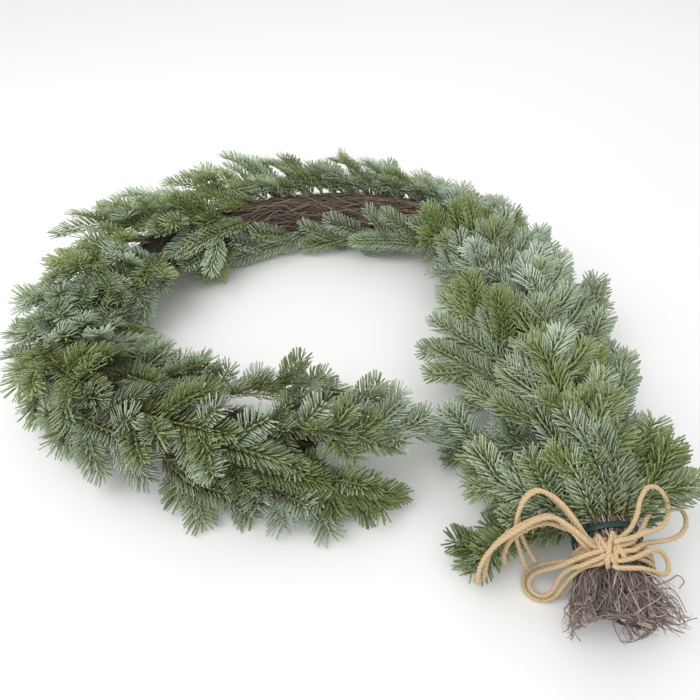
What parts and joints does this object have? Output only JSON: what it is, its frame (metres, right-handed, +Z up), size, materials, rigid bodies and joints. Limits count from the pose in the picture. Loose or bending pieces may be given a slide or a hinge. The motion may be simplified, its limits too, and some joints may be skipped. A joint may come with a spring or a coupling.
{
  "type": "noble fir garland",
  "caption": "Hook-shaped garland of noble fir sprays on a rope of dried vine twigs, tied with a jute twine bow and a dark green band.",
  "frame": {"origin": "on the surface under the middle of the garland's box, its twine tails and loops left out", "axes": "+Z up from the surface; +Y from the bow and the free end, which are the hook's open side, towards its closed side; +X towards the bow's long arm"},
  "size_m": [0.9305, 0.9148, 0.1753],
  "materials": {
    "fir_green": "matt needles",
    "fir_blue": "matt needles with a waxy bloom",
    "vine_twigs": "dry bark",
    "green_band": "satin",
    "jute_twine": "hairy twisted fibre"
  },
  "bodies": {
    "root": {"fir_spray_01": "fir_green", "fir_spray_02": "fir_green", "fir_spray_03": "fir_green", "fir_spray_04": "fir_green", "fir_spray_05": "fir_green", "fir_spray_06": "fir_blue", "fir_spray_07": "fir_blue", "fir_spray_08": "fir_green", "fir_spray_09": "fir_green", "fir_spray_10": "fir_blue", "fir_spray_11": "fir_green", "fir_spray_12": "fir_green", "fir_spray_13": "fir_green", "fir_spray_14": "fir_green", "fir_spray_15": "fir_blue", "fir_spray_16": "fir_green", "fir_spray_17": "fir_blue", "fir_spray_18": "fir_blue", "fir_spray_19": "fir_blue", "fir_spray_20": "fir_blue", "fir_spray_21": "fir_blue", "fir_spray_22": "fir_green", "fir_spray_23": "fir_blue", "fir_spray_24": "fir_blue", "fir_spray_25": "fir_blue", "fir_spray_26": "fir_blue", "fir_spray_27": "fir_green", "fir_spray_28": "fir_blue", "fir_spray_29": "fir_green", "fir_spray_30": "fir_blue", "fir_spray_31": "fir_green", "fir_spray_32": "fir_green", "fir_spray_33": "fir_green", "fir_spray_34": "fir_green", "fir_spray_35": "fir_green", "fir_spray_36": "fir_blue", "fir_spray_37": "fir_green", "fir_spray_38": "fir_green", "fir_spray_39": "fir_green", "fir_spray_40": "fir_blue", "fir_spray_41": "fir_green", "fir_spray_42": "fir_blue", "fir_spray_43": "fir_green", "fir_spray_44": "fir_green", "fir_spray_45": "fir_green", "fir_spray_46": "fir_blue", "fir_spray_47": "fir_green", "green_band": "green_band", "twine_loop_1": "jute_twine", "twine_loop_2": "jute_twine", "twine_loop_3": "jute_twine", "twine_loop_4": "jute_twine", "twine_loop_5": "jute_twine", "twine_tail_1": "jute_twine", "twine_tail_2": "jute_twine", "twine_tail_3": "jute_twine", "twine_tail_4": "jute_twine", "twine_tail_5": "jute_twine", "twine_wrap": "jute_twine", "vine_core": "vine_twigs"}
  },
  "joints": []
}
